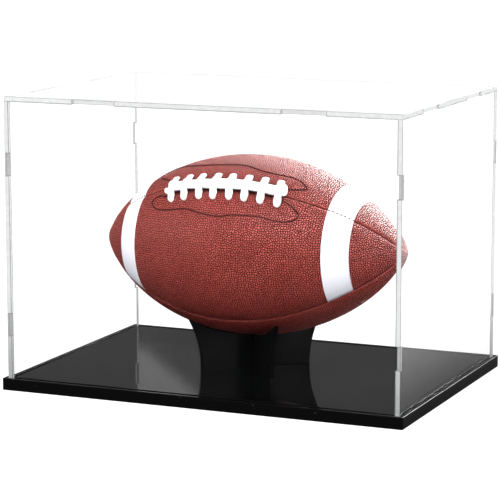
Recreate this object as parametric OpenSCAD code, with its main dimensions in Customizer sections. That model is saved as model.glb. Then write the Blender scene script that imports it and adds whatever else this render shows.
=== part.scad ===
// Clear display case on a black base, with a cross stand and an American football on it.
// Units are millimetres. The origin is the middle of the base's underside, +Z is up,
// X runs along the case's long side and the front faces -Y.

/* [Cover] */
// Outside width of the clear cover
cover_w = 360; // [330:1:420]
// Outside depth of the clear cover
cover_d = 252; // [230:1:300]
// Full height of the clear cover, with the part that sits in the groove
cover_h = 249; // [235:1:300]
// Thickness of the clear panels
panel_t = 4; // [3:0.5:5]
// Gap left at each glued joint between two clear panels
joint_gap = 0.1; // [0.05:0.05:0.2]

/* [Cover tabs] */
// Length of the tabs on the upright edges
side_tab_l = 20; // [12:1:30]
// Height of the lower side tabs above the base's top face
low_tab_z = 37; // [20:1:60]
// Height of the upper side tabs above the base's top face
high_tab_z = 176.5; // [140:0.5:200]
// Length of the tabs along the top edges
top_tab_l = 40; // [25:1:50]
// Distance of the long top tabs' middles from the case's middle
long_tab_x = 95; // [70:1:120]
// Distance of the short top tabs' middles from the case's middle
short_tab_y = 57; // [40:1:80]

/* [Base] */
// How far the base reaches past the cover on each side
base_rim = 4; // [2.5:0.5:10]
// Thickness of the base plate
base_h = 10.5; // [9:0.5:16]
// Depth of the groove that holds the cover
groove_depth = 4; // [2:0.5:5]
// Clearance on each side of a panel in the groove
groove_play = 0.4; // [0.2:0.1:0.8]
// Radius of the base's upright corners
base_corner_r = 1.5; // [0.5:0.5:2]

/* [Stand] */
// Thickness of the two crossed stand plates
stand_t = 4; // [3:0.5:5]
// Direction of the first stand plate, turned from the case's long side
stand_turn = 40; // [30:1:55]
// Half of the stand's width at its foot
foot_half_w = 50; // [44:1:54]
// Radius of the hollow sides
side_hollow_r = 92; // [80:1:120]
// Height of the cradle's lowest point above the base
cradle_z = 30.5; // [24:0.5:30.5]
// Half of the cradle's width between the horns
cradle_half_w = 61; // [56:1:61]
// Height of the first plate's horns above the base
low_horn_z = 46.5; // [40:0.5:46.5]
// Height of the second plate's horns above the base
high_horn_z = 48.5; // [42:0.5:48.5]
// Width that the crossing slots leave over the plate's thickness
slot_play = 0.2; // [0.1:0.1:0.4]

/* [Football] */
// Half of the ball's length
ball_half_l = 143; // [140:0.5:146]
// Largest radius of the ball
ball_r = 79; // [77:0.5:79]
// Height of the ball's middle above the base
ball_height = 110; // [110:0.5:115]
// Shift of the ball's middle along the case
ball_shift = -2.1; // [-3:0.1:3]
// Turn of the ball seen from above
ball_turn = -2; // [-4:1:2]
// Rise of the ball's right end
ball_rise = 0.8; // [0:0.1:1.5]
// Direction of the laced seam, up from the level front
lace_angle = 47; // [40:0.5:50]
// Middle of the laces along the ball
lace_shift = -3.5; // [-10:0.5:0]
// Thickness of the leather
leather_t = 2.2; // [1.5:0.1:2.5]
// Distance from the ball's middle to the near edge of a stripe
stripe_near = 88.5; // [80:0.5:92]
// Width of a stripe
stripe_w = 20; // [15:1:22]

/* [Hidden] */
$fn = 96;

// Base and cover levels
base_w = cover_w + 2 * base_rim;
base_d = cover_d + 2 * base_rim;
cover_z = base_h - groove_depth;
wall_h = cover_h - panel_t;

// Upright edge at the stand's foot, below the hollow sides
foot_edge_h = 2;
// Most that a horn may reach past the cradle
horn_reach = 8;
// Height at which the two crossing slots meet, and the gap between their ends
cross_z = cradle_z / 2;
cross_gap = 0.1;

// Exponents of the ball's outline, between an ellipse and two meeting cones
tip_blend = 2.03;
tip_sharpness = 0.73;

// Layers of the ball, as depths below its leather surface
seam_gap = 0.3;
patch_depth = leather_t + 0.1;
patch_t = 0.8;
lining_depth = patch_depth + patch_t + 0.1;
lining_t = 0.8;
bladder_depth = lining_depth + lining_t + 0.3;
bladder_t = 0.8;
lining_inset_angle = 0.5;
stripe_t = 0.3;
stripe_lift = 0.05;
stripe_inset_angle = 0.6;

// Valve, in the middle of the back panel
valve_r = 3.5;
valve_l = 13.6;
valve_play = 0.1;
valve_sunk = 0.4;
valve_angle = lace_angle + 135;

// Laces: eight cross bars over two long strands
lace_bars = 8;
lace_pitch = 14.4;
lace_bar_w = 4.6;
lace_bar_half_angle = 10.5;
lace_lift = 0.1;
lace_t = 2.2;
strand_angle = 3.4;
strand_gap_angle = 0.5;
strand_t = 3;
strand_overhang = 4;
patch_half_l = 66;
patch_angle = 24;

// ---------- Outlines ----------

module rounded_rectangle(w, d, r) {
    square([w - 2 * r, d], center = true);
    square([w, d - 2 * r], center = true);
    for (sx = [-1, 1], sy = [-1, 1])
        translate([sx * (w / 2 - r), sy * (d / 2 - r)]) circle(r);
}

// Tabs on one panel's top edge, at equal distances from its middle
module top_tabs(distance) {
    for (side = [-1, 1])
        translate([side * distance - top_tab_l / 2, 0])
            square([top_tab_l, wall_h + panel_t]);
}

// Strips across a panel at the heights of the side tabs
module side_tab_strips(w, play) {
    for (z = [low_tab_z, high_tab_z])
        translate([-w / 2, z + groove_depth - play])
            square([w, side_tab_l + 2 * play]);
}

// Long wall, drawn flat: X along the case and Y up
module long_wall_outline() {
    body_w = cover_w - 2 * (panel_t + joint_gap);
    translate([-body_w / 2, 0]) square([body_w, wall_h - joint_gap]);
    side_tab_strips(cover_w, 0);
    top_tabs(long_tab_x);
}

// Short wall, drawn flat, with its upright edges notched for the long walls' tabs
module short_wall_outline() {
    inner_w = cover_d - 2 * (panel_t + joint_gap);
    difference() {
        translate([-cover_d / 2, 0]) square([cover_d, wall_h - joint_gap]);
        difference() {
            side_tab_strips(cover_d + 2, joint_gap);
            translate([-inner_w / 2, 0]) square([inner_w, wall_h]);
        }
    }
    top_tabs(short_tab_y);
}

// ---------- Base ----------

module groove() {
    outer_w = cover_w + 2 * groove_play;
    outer_d = cover_d + 2 * groove_play;
    inner_w = cover_w - 2 * (panel_t + groove_play);
    inner_d = cover_d - 2 * (panel_t + groove_play);
    translate([0, 0, cover_z]) linear_extrude(groove_depth + 1) difference() {
        square([outer_w, outer_d], center = true);
        square([inner_w, inner_d], center = true);
    }
}

module base_plate() {
    color([0.02, 0.02, 0.02]) difference() {
        linear_extrude(base_h) rounded_rectangle(base_w, base_d, base_corner_r);
        groove();
    }
}

// ---------- Stand ----------

// One stand plate, drawn flat: hollow sides, two horns and a round cradle between them
module stand_outline(horn_z) {
    rise = horn_z - cradle_z;
    cradle_r = (cradle_half_w * cradle_half_w + rise * rise) / (2 * rise);
    blank_half_w = cradle_half_w + horn_reach;
    difference() {
        translate([-blank_half_w, 0]) square([2 * blank_half_w, horn_z]);
        translate([0, cradle_z + cradle_r]) circle(cradle_r, $fn = 180);
        for (side = [-1, 1]) translate([side * (foot_half_w + side_hollow_r), foot_edge_h]) {
            circle(side_hollow_r, $fn = 180);
            translate([0, -foot_edge_h]) square([2 * side_hollow_r, 2 * foot_edge_h], center = true);
        }
    }
}

// A stand plate in its place, with its half of the crossing slot between two heights
module stand_plate(horn_z, turn, slot_from, slot_to) {
    slot_w = stand_t + slot_play;
    translate([0, 0, base_h]) rotate([90, 0, turn]) translate([0, 0, -stand_t / 2])
        linear_extrude(stand_t) difference() {
            stand_outline(horn_z);
            translate([-slot_w / 2, slot_from]) square([slot_w, slot_to - slot_from]);
        }
}

// Slot open at the top
module stand_plate_first() {
    color([0.03, 0.03, 0.03])
        stand_plate(low_horn_z, stand_turn, cross_z - cross_gap / 2, cradle_z + 1);
}

// Slot open at the bottom
module stand_plate_second() {
    color([0.03, 0.03, 0.03])
        stand_plate(high_horn_z, stand_turn - 90, -1, cross_z + cross_gap / 2);
}

// ---------- Cover ----------

module long_wall() {
    translate([0, 0, cover_z]) rotate([90, 0, 0]) linear_extrude(panel_t)
        long_wall_outline();
}

module short_wall() {
    translate([0, 0, cover_z]) rotate([90, 0, 90]) linear_extrude(panel_t)
        short_wall_outline();
}

module cover_front_panel() {
    color([0.9, 0.95, 1, 0.35]) translate([0, panel_t - cover_d / 2, 0]) long_wall();
}

module cover_back_panel() {
    color([0.9, 0.95, 1, 0.35]) translate([0, cover_d / 2, 0]) long_wall();
}

module cover_left_panel() {
    color([0.9, 0.95, 1, 0.35]) translate([-cover_w / 2, 0, 0]) short_wall();
}

module cover_right_panel() {
    color([0.9, 0.95, 1, 0.35]) translate([cover_w / 2 - panel_t, 0, 0]) short_wall();
}

module cover_top_panel() {
    notch = panel_t + joint_gap;
    play = joint_gap;
    color([0.9, 0.95, 1, 0.35]) translate([0, 0, cover_z + wall_h])
        linear_extrude(panel_t) difference() {
            square([cover_w, cover_d], center = true);
            for (side = [-1, 1], x = [-long_tab_x, long_tab_x])
                translate([x, side * (cover_d / 2 + 1 - notch / 2)])
                    square([top_tab_l + 2 * play, notch + 2], center = true);
            for (side = [-1, 1], y = [-short_tab_y, short_tab_y])
                translate([side * (cover_w / 2 + 1 - notch / 2), y])
                    square([notch + 2, top_tab_l + 2 * play], center = true);
        }
}

// ---------- Football ----------

// The ball's outline at a depth below its surface: radius and place along its axis.
// s runs from -90 at one tip to 90 at the other.
function outline_point(depth, s) = [
    (ball_r - depth) * pow(1 - pow(abs(sin(s)), tip_blend), tip_sharpness),
    (ball_half_l - depth) * sin(s)
];
function outline(depth, s_from, s_to, steps) = [
    for (i = [0 : steps]) outline_point(depth, s_from + (s_to - s_from) * i / steps)
];
function station(depth, x) = asin(x / (ball_half_l - depth));

// A layer of the ball between two depths, over a stretch of its length
module layer_section(depth_out, depth_in, x_from, x_to, steps) {
    outer = outline(depth_out, station(depth_out, x_from), station(depth_out, x_to), steps);
    inner = outline(depth_in, station(depth_in, x_to), station(depth_in, x_from), steps);
    polygon(concat(outer, inner));
}

// A layer from tip to tip
module full_section(depth_out, depth_in, steps) {
    polygon(concat(outline(depth_out, -90, 90, steps), outline(depth_in, 90, -90, steps)));
}

// Turns its child section round the ball's axis between two directions,
// counted up from the level front
module sweep_round(from, to) {
    rotate([0, 90, 0]) rotate([0, 0, -90 - to]) rotate_extrude(angle = to - from)
        children();
}

module place_ball() {
    translate([ball_shift, 0, base_h + ball_height]) rotate([0, -ball_rise, ball_turn])
        children();
}

// One of the four leather panels; quarter 0 is below the laced seam in front
module leather_panel(quarter) {
    from = lace_angle - 90 + 90 * quarter;
    half_gap = seam_gap / (2 * ball_r) * 180 / PI;
    sweep_round(from + half_gap, from + 90 - half_gap)
        full_section(0, leather_t, 36);
}

// Cloth lining sewn to the inside of one leather panel
module lining(quarter) {
    from = lace_angle - 90 + 90 * quarter;
    sweep_round(from + lining_inset_angle, from + 90 - lining_inset_angle)
        full_section(lining_depth, lining_depth + lining_t, 24);
}

// Cylinder through the middle of the back panel, for the valve and its hole
module valve_cylinder(r, l) {
    rotate([90 - valve_angle, 0, 0]) translate([0, 0, ball_r - valve_l - valve_sunk])
        cylinder(r = r, h = l);
}

module ball_panel_front() {
    color([0.45, 0.13, 0.1]) place_ball() leather_panel(0);
}

module ball_panel_top() {
    color([0.45, 0.13, 0.1]) place_ball() leather_panel(1);
}

module ball_panel_back() {
    color([0.45, 0.13, 0.1]) place_ball() difference() {
        leather_panel(2);
        valve_cylinder(valve_r + valve_play, valve_l + 5);
    }
}

module ball_panel_bottom() {
    color([0.45, 0.13, 0.1]) place_ball() leather_panel(3);
}

module ball_lining_front() {
    color([0.85, 0.83, 0.78]) place_ball() lining(0);
}

module ball_lining_top() {
    color([0.85, 0.83, 0.78]) place_ball() lining(1);
}

module ball_lining_back() {
    color([0.85, 0.83, 0.78]) place_ball() difference() {
        lining(2);
        valve_cylinder(valve_r + valve_play, valve_l + 5);
    }
}

module ball_lining_bottom() {
    color([0.85, 0.83, 0.78]) place_ball() lining(3);
}

// Stiffener sewn behind the leather on one side of the lace opening
module lace_patch(from) {
    color([0.35, 0.1, 0.08]) place_ball() sweep_round(from, from + patch_angle)
        layer_section(patch_depth, patch_depth + patch_t,
                      lace_shift - patch_half_l, lace_shift + patch_half_l, 12);
}

module ball_lace_patch_front() {
    lace_patch(lace_angle - patch_angle - lining_inset_angle);
}

module ball_lace_patch_top() {
    lace_patch(lace_angle + lining_inset_angle);
}

// White stripe on the leather, from the laced seam to the next seam
module stripe(side, quarter) {
    from = lace_angle - 90 + 90 * quarter;
    near = side * stripe_near;
    far = side * (stripe_near + stripe_w);
    color("white") place_ball()
        sweep_round(from + stripe_inset_angle, from + 90 - stripe_inset_angle)
            layer_section(-stripe_lift - stripe_t, -stripe_lift,
                          min(near, far), max(near, far), 8);
}

module ball_stripe_left_front() {
    stripe(-1, 0);
}

module ball_stripe_left_top() {
    stripe(-1, 1);
}

module ball_stripe_right_front() {
    stripe(1, 0);
}

module ball_stripe_right_top() {
    stripe(1, 1);
}

// One long strand, its near side at an angle from the laced seam
module lace_strand(from, to) {
    half_l = (lace_bars - 1) * lace_pitch / 2 + strand_overhang;
    sweep_round(lace_angle + from, lace_angle + to)
        layer_section(-lace_lift - strand_t, -lace_lift,
                      lace_shift - half_l, lace_shift + half_l, 12);
}

module ball_lace() {
    color("white") place_ball() {
        for (i = [0 : lace_bars - 1]) {
            x = lace_shift + (i - (lace_bars - 1) / 2) * lace_pitch;
            sweep_round(lace_angle - lace_bar_half_angle, lace_angle + lace_bar_half_angle)
                layer_section(-lace_lift - lace_t, -lace_lift,
                              x - lace_bar_w / 2, x + lace_bar_w / 2, 1);
        }
        lace_strand(strand_gap_angle, strand_gap_angle + strand_angle);
        lace_strand(-strand_gap_angle - strand_angle, -strand_gap_angle);
    }
}

module ball_bladder() {
    color([0.1, 0.1, 0.1]) place_ball() difference() {
        sweep_round(0, 360) full_section(bladder_depth, bladder_depth + bladder_t, 24);
        valve_cylinder(valve_r + valve_play, valve_l + 5);
    }
}

module ball_valve() {
    color([0.05, 0.05, 0.05]) place_ball() valve_cylinder(valve_r, valve_l);
}

base_plate();
stand_plate_first();
stand_plate_second();
cover_front_panel();
cover_back_panel();
cover_left_panel();
cover_right_panel();
cover_top_panel();
ball_panel_front();
ball_panel_top();
ball_panel_back();
ball_panel_bottom();
ball_lining_front();
ball_lining_top();
ball_lining_back();
ball_lining_bottom();
ball_lace_patch_front();
ball_lace_patch_top();
ball_stripe_left_front();
ball_stripe_left_top();
ball_stripe_right_front();
ball_stripe_right_top();
ball_lace();
ball_bladder();
ball_valve();
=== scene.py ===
"""Display case with an American football: the looks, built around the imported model.

Units are metres. The origin is the middle of the base's underside, +Z is up, X runs along
the case's long side and the front faces -Y.
"""

import math

import bmesh
import bpy
import numpy as np
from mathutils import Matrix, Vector


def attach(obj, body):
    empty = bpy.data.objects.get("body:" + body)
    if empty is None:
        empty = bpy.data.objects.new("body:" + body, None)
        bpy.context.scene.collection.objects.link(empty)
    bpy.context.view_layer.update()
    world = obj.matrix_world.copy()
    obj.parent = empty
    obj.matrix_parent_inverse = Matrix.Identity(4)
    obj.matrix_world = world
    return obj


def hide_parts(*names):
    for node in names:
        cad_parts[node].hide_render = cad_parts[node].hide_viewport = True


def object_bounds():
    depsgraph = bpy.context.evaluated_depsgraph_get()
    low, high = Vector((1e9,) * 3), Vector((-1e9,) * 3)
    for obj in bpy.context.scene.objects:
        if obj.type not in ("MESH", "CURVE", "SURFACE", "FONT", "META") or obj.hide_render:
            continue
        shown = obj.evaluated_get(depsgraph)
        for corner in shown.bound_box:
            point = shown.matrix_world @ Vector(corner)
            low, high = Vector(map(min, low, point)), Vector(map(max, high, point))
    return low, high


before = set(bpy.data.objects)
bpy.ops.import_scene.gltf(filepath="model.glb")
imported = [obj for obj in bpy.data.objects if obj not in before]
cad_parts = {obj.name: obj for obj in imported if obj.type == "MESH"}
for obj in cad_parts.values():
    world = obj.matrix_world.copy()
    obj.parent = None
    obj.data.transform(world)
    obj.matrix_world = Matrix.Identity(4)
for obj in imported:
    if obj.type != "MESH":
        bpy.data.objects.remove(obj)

cad_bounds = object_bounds()

MM = 0.001

# ---------- Driving values ----------

# Camera
CAMERA_AZIMUTH = 23.16
CAMERA_ELEVATION = 9.66
CAMERA_DISTANCE = 2.056
CAMERA_LENS = 168.0
AIM_OFFSET = (-5.65 * MM, 0.0, -12.95 * MM)

# Acrylic sheet
EDGE_ROUND = 0.32 * MM
BASE_EDGE_ROUND = 0.5 * MM
STAND_EDGE_ROUND = 0.12 * MM
TAB_END_AREA = 130 * MM * MM

# The ball's outline: exponents between an ellipse and two meeting cones
TIP_BLEND = 2.03
TIP_SHARPNESS = 0.73

# Leather
LEATHER_STEP = 0.8 * MM
LEATHER_T = 2.2 * MM
SEAM_GAP_ANGLE = 0.11
PEBBLE = 2.0 * MM
PEBBLE_CHANCE = 0.8
LEATHER_SHINE = 0.5
PEBBLE_RELIEF = 0.16 * MM
SEAM_FOLD = 1.2 * MM
SEAM_FOLD_W = 1.3 * MM
SEAM_CROWN = 0.45 * MM
SEAM_CROWN_W = 7.0 * MM
# Width of the painted shade in the seam folds
SEAM_SHADE_W = 0.75 * MM
SEAM_CALM_W = 1.5 * MM
# Radius of the ball from which the leather's dips have their full depth
FULL_DIP_R = 18 * MM
# How far each seam sits off its straight line, in degrees, at the left, in the middle and at the
# right. Left and right are this far from the ball's middle.
LEAN_AT = 95 * MM
SEAM_LEAN = ((-3.0, -5.5, -1.5), (4.5, 0.5, -0.5), (0.0, 0.0, 0.0), (0.0, 0.0, 0.0))
VALVE_DIP = 0.9 * MM
VALVE_DIP_R = 4.6 * MM
# Steps across the inner face of a panel or a stripe
INNER_COLUMNS = 9

# White stripes
STRIPE_INSET_ANGLE = 0.35
STRIPE_LIFT = 0.3 * MM
STRIPE_SUNK = 0.5 * MM

# Lace. The turn of the bars is in radians, and the other angles and shifts are in degrees.
LACE_BARS = 8
LACE_PITCH = 14.4 * MM
BAR_W = 6.2 * MM
BAR_HALF_L = 14.2 * MM
BAR_H = 2.9 * MM
BAR_TURN = math.radians(7)
BAR_AHEAD = 0.9 * MM
BAR_SHIFT = 1.0
BAND_SHIFT = 1.9
STRAND_ANGLE = 1.75
STRAND_W = 5.4 * MM
STRAND_H = 3.2 * MM
LACE_DIP = 1.1 * MM
LACE_DIP_ANGLE = 7.4
LACE_HOLE_R = 1.5 * MM
LACE_HOLE_DIP = 1.0 * MM
LACE_END_HALF_H = 1.9 * MM

# Stitched outline of the two patches behind the lace: distance along the ball from the
# middle of the laces in millimetres, and degrees from the laced seam
OUTLINE_BELOW = [
    (-53.5, -5.5), (-64, -3.5), (-70, -8), (-62, -15), (-47, -16.5), (-30, -16.5), (-15, -19),
    (3, -21), (17, -19.5), (41, -19), (56, -20.5), (67.5, -18.5), (71.5, -13), (65, -8),
    (58, -5), (48, -3), (30, -2.5), (0, -2.5), (-30, -2.5), (-45, -3.5),
]
OUTLINE_ABOVE = [
    (-60, 12), (-72, 20), (-77, 29), (-66, 33), (-50, 28), (-37, 24), (-14, 21.5), (9, 21.5), (26, 18),
    (41, 17), (58, 18), (68, 14.5), (70.5, 11), (65, 8), (57.5, 6), (48, 5), (30, 4.5), (0, 4.5),
    (-30, 4.5), (-48, 7),
]
OUTLINE_DIP = 0.35 * MM
OUTLINE_DIP_W = 1.0 * MM
THREAD_R = 0.5 * MM
STITCH_L = 2.3 * MM
STITCH_PITCH = 2.6 * MM
SEAM_STITCH_L = 1.4 * MM
SEAM_STITCH_PITCH = 3.3 * MM
SEAM_STITCH_DEPTH = 0.9 * MM

PANELS = ("front", "top", "back", "bottom")

# Studio white as seen straight, in black gloss, and as a source of light
STRAIGHT_WHITE = 1.15
FLOOR_IN_GLOSS = 0.04
# The card behind the case: distance, its left, right, low and high sides, and its light
CARD_DISTANCE = 4.0
CARD_BOX = (-0.298, -0.12, 0.845, 1.0)
CARD_LIGHT = 0.6
FLOOR_AS_LIGHT = 0.1
# Degrees over the horizon: low white up to the first, dark from the second to the third, and
# the upper light full at the last
SKY_STEPS = (7.8, 10.0, 22.0, 60.0)
# Lamps: name, place, width, height, power and whether only gloss shows it
SOFTBOXES = (
    ("key", (0.25, -1.15, 1.15), 0.9, 0.7, 34, False),
    ("fill", (-1.5, -1.1, 0.75), 1.2, 1.0, 23, False),
    ("side_fill", (1.6, -0.7, 0.4), 0.8, 0.6, 14, False),
    ("glare", (0.75, 0.35, 0.95), 0.6, 0.5, 25, True),
    ("rim", (0.35, 1.3, 0.85), 1.4, 0.5, 150, True),
)


# ---------- Node helpers ----------

def set_input(tree, socket, value):
    """Links an input from an output socket, or gives it a plain value."""
    if isinstance(value, bpy.types.NodeSocket):
        tree.links.new(value, socket)
    else:
        socket.default_value = value


def add_node(tree, kind, inputs=None, **settings):
    """Adds a node. Inputs are values, or output sockets to link from."""
    node = tree.nodes.new(kind)
    for name, value in settings.items():
        setattr(node, name, value)
    for name, value in (inputs or {}).items():
        set_input(tree, node.inputs[name], value)
    return node


def calc(tree, operation, first, second=0.0, third=0.0):
    """A Math node's result."""
    node = add_node(tree, "ShaderNodeMath", {0: first, 1: second, 2: third}, operation=operation)
    return node.outputs[0]


def ramp(tree, value, low, high, to_low=0.0, to_high=1.0):
    """Value taken smoothly from low..high to to_low..to_high."""
    inputs = {"Value": value, "From Min": low, "From Max": high, "To Min": to_low, "To Max": to_high}
    node = add_node(tree, "ShaderNodeMapRange", inputs, interpolation_type="SMOOTHSTEP")
    return node.outputs["Result"]


def blend_colours(tree, factor, first, second):
    """Two colours mixed by a factor."""
    node = add_node(tree, "ShaderNodeMix", {0: factor, 6: first, 7: second}, data_type="RGBA")
    return node.outputs[2]


def new_group(name, inputs, outputs):
    """A shader node group with named inputs (name, socket type, value) and outputs."""
    tree = bpy.data.node_groups.new(name, "ShaderNodeTree")
    for label, kind, value in inputs:
        socket = tree.interface.new_socket(label, in_out="INPUT", socket_type=kind)
        if value is not None:
            socket.default_value = value
    for label, kind in outputs:
        tree.interface.new_socket(label, in_out="OUTPUT", socket_type=kind)
    return tree, tree.nodes.new("NodeGroupInput").outputs, tree.nodes.new("NodeGroupOutput").inputs


def object_coords(tree):
    """Places in the object's own frame."""
    return tree.nodes.new("ShaderNodeTexCoord").outputs["Object"]


def flat_coords(tree):
    """Where a point of the ball's skin lies on its panel laid flat."""
    return add_node(tree, "ShaderNodeAttribute", attribute_name="flat").outputs["Vector"]


# ---------- Shared effects ----------

def make_pebble_group():
    """Pebbled grain: rounded cells parted by creases, with slow changes of tone."""
    inputs = [
        ("Vector", "NodeSocketVector", None),
        ("Pebble Size", "NodeSocketFloat", PEBBLE),
        ("Tone Size", "NodeSocketFloat", 0.03),
    ]
    outputs = [
        ("Height", "NodeSocketFloat"), ("Crease", "NodeSocketFloat"),
        ("Tone", "NodeSocketFloat"), ("Cell", "NodeSocketFloat"),
    ]
    tree, source, result = new_group("pebbled_grain", inputs, outputs)
    scale = calc(tree, "DIVIDE", 1.0, source["Pebble Size"])
    place = {"Vector": source["Vector"], "Scale": scale, "Randomness": PEBBLE_CHANCE}
    edges = add_node(
        tree, "ShaderNodeTexVoronoi", place, voronoi_dimensions="2D", feature="DISTANCE_TO_EDGE"
    )
    cells = add_node(tree, "ShaderNodeTexVoronoi", place, voronoi_dimensions="2D", feature="F1")
    dome = ramp(tree, edges.outputs["Distance"], 0.0, 0.3)
    fine = add_node(
        tree, "ShaderNodeTexNoise",
        {"Vector": source["Vector"], "Scale": calc(tree, "MULTIPLY", scale, 4.0), "Detail": 2.0},
    )
    grain = calc(tree, "MULTIPLY_ADD", fine.outputs["Fac"], 0.12, dome)
    slow = add_node(
        tree, "ShaderNodeTexNoise",
        {
            "Vector": source["Vector"], "Scale": calc(tree, "DIVIDE", 1.0, source["Tone Size"]),
            "Detail": 3.0,
        },
    )
    split = add_node(tree, "ShaderNodeSeparateColor", {"Color": cells.outputs["Color"]})
    tree.links.new(grain, result["Height"])
    tree.links.new(ramp(tree, edges.outputs["Distance"], 0.05, 0.29, 1.0, 0.0), result["Crease"])
    tree.links.new(slow.outputs["Fac"], result["Tone"])
    tree.links.new(split.outputs[0], result["Cell"])
    return tree


def make_sheet_wear_group():
    """Marks on handled acrylic: fine scratches, wiped smears and dust specks."""
    inputs = [("Vector", "NodeSocketVector", None), ("Amount", "NodeSocketFloat", 1.0)]
    outputs = [
        ("Scratches", "NodeSocketFloat"), ("Smears", "NodeSocketFloat"), ("Dust", "NodeSocketFloat"),
    ]
    tree, source, result = new_group("sheet_wear", inputs, outputs)
    stretch = add_node(
        tree, "ShaderNodeMapping",
        {"Vector": source["Vector"], "Rotation": (0.3, 0.5, 0.7), "Scale": (900.0, 30.0, 60.0)},
    )
    hairs = add_node(tree, "ShaderNodeTexNoise", {"Vector": stretch.outputs[0], "Scale": 1.0, "Detail": 2.0})
    smears = add_node(tree, "ShaderNodeTexNoise", {"Vector": source["Vector"], "Scale": 14.0, "Detail": 4.0})
    specks = add_node(
        tree, "ShaderNodeTexVoronoi", {"Vector": source["Vector"], "Scale": 130.0}, feature="F1"
    )
    for value, low, high, label in (
        (hairs.outputs["Fac"], 0.66, 0.8, "Scratches"),
        (smears.outputs["Fac"], 0.42, 0.75, "Smears"),
        (specks.outputs["Distance"], 0.07, 0.03, "Dust"),
    ):
        mask = calc(tree, "MULTIPLY", ramp(tree, value, low, high), source["Amount"])
        tree.links.new(mask, result[label])
    return tree


def make_weave_group():
    """Plain weave: two sets of threads that pass over and under each other."""
    inputs = [("Vector", "NodeSocketVector", None), ("Thread Pitch", "NodeSocketFloat", 0.7 * MM)]
    outputs = [("Height", "NodeSocketFloat"), ("Shade", "NodeSocketFloat")]
    tree, source, result = new_group("plain_weave", inputs, outputs)
    scale = calc(tree, "DIVIDE", math.pi, source["Thread Pitch"])
    parts = add_node(tree, "ShaderNodeSeparateXYZ", {"Vector": source["Vector"]})
    along = calc(tree, "SINE", calc(tree, "MULTIPLY", parts.outputs["X"], scale))
    across = calc(tree, "ADD", parts.outputs["Y"], parts.outputs["Z"])
    across = calc(tree, "SINE", calc(tree, "MULTIPLY", across, scale))
    height = calc(tree, "MULTIPLY_ADD", calc(tree, "MULTIPLY", along, across), 0.5, 0.5)
    fuzz = add_node(tree, "ShaderNodeTexNoise", {"Vector": source["Vector"], "Scale": 900.0, "Detail": 2.0})
    tree.links.new(height, result["Height"])
    tree.links.new(calc(tree, "MULTIPLY", height, fuzz.outputs["Fac"]), result["Shade"])
    return tree


PEBBLES = make_pebble_group()
SHEET_WEAR = make_sheet_wear_group()
WEAVE = make_weave_group()


def place_group(tree, group, **values):
    """Places a node group in a material and sets its inputs."""
    node = tree.nodes.new("ShaderNodeGroup")
    node.node_tree = group
    for label, value in values.items():
        set_input(tree, node.inputs[label.replace("_", " ")], value)
    return node.outputs


def new_material(name, **constants):
    """A material with one Principled shader, whose constants are set on its own sockets."""
    material = bpy.data.materials.new(name)
    material.use_nodes = True
    tree = material.node_tree
    shader = tree.nodes["Principled BSDF"]
    for label, value in constants.items():
        shader.inputs[label.replace("_", " ")].default_value = value
    return material, tree, shader


def bump(tree, height, distance, strength=1.0):
    """A surface normal bent by a height."""
    inputs = {"Height": height, "Distance": distance, "Strength": strength}
    return add_node(tree, "ShaderNodeBump", inputs).outputs["Normal"]


def attribute(tree, name):
    """A value that the mesh holds at each point."""
    return add_node(tree, "ShaderNodeAttribute", attribute_name=name).outputs["Fac"]


# ---------- Materials ----------

def black_acrylic_material(name, roughness, tone, shine):
    """Glossy black cast acrylic with faint smears, hair scratches and dust."""
    material, tree, shader = new_material(name, IOR=1.49, Specular_IOR_Level=shine)
    wear = place_group(tree, SHEET_WEAR, Vector=object_coords(tree), Amount=1.0)
    base = (tone, tone, tone * 1.05, 1.0)
    colour = blend_colours(tree, calc(tree, "MULTIPLY", wear["Dust"], 0.25), base, (0.25, 0.25, 0.25, 1.0))
    gloss = calc(tree, "MULTIPLY_ADD", wear["Smears"], 0.05, roughness)
    gloss = calc(tree, "MULTIPLY_ADD", wear["Scratches"], 0.1, gloss)
    tree.links.new(colour, shader.inputs["Base Color"])
    tree.links.new(gloss, shader.inputs["Roughness"])
    tree.links.new(bump(tree, wear["Scratches"], 0.01 * MM), shader.inputs["Normal"])
    return material


def cut_edge_material(name, glow):
    """Cut acrylic edge: cloudy, with a painted glow that stands in for the light running inside the sheet.
    """
    material, tree, shader = new_material(
        name, IOR=1.1, Specular_IOR_Level=0.2, Transmission_Weight=0.2,
        Emission_Color=(0.98, 0.99, 1.0, 1.0),
    )
    material.cycles.emission_sampling = "NONE"
    coords = object_coords(tree)
    streaks = add_node(tree, "ShaderNodeTexNoise", {"Vector": coords, "Scale": 260.0, "Detail": 3.0})
    colour = blend_colours(tree, streaks.outputs["Fac"], (0.05, 0.05, 0.05, 1.0), (0.1, 0.1, 0.1, 1.0))
    height = add_node(tree, "ShaderNodeSeparateXYZ", {"Vector": coords}).outputs["Z"]
    # painted glow, brighter towards the top and a little streaked
    painted_glow = ramp(tree, height, 0.01, 0.09, 0.45 * glow, glow)
    painted_glow = calc(tree, "MULTIPLY", painted_glow, ramp(tree, streaks.outputs["Fac"], 0.2, 0.8, 0.95, 1.05))
    tree.links.new(painted_glow, shader.inputs["Emission Strength"])
    tree.links.new(colour, shader.inputs["Base Color"])
    gloss = calc(tree, "MULTIPLY_ADD", streaks.outputs["Fac"], 0.2, 0.3)
    tree.links.new(gloss, shader.inputs["Roughness"])
    tree.links.new(bump(tree, streaks.outputs["Fac"], 0.01 * MM), shader.inputs["Normal"])
    return material


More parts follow.
